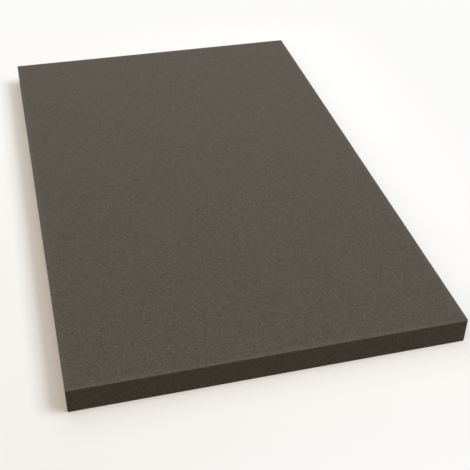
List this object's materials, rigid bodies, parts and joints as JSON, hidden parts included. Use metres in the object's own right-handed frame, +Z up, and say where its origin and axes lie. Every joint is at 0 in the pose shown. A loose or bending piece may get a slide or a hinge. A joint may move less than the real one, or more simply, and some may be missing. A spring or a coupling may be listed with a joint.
{
  "type": "foam seat pad",
  "caption": "Plain rectangular slab of firm foam with flat faces, upright sides and softly eased edges, laid on a small bench as its seat pad.",
  "frame": {"origin": "middle of the underside", "axes": "+Z up out of the seat face, +Y along the pad's length, +X across it"},
  "size_m": [0.43, 0.7, 0.03],
  "materials": {
    "foam": "matte"
  },
  "bodies": {
    "root": {"foam_pad": "foam"}
  },
  "joints": []
}
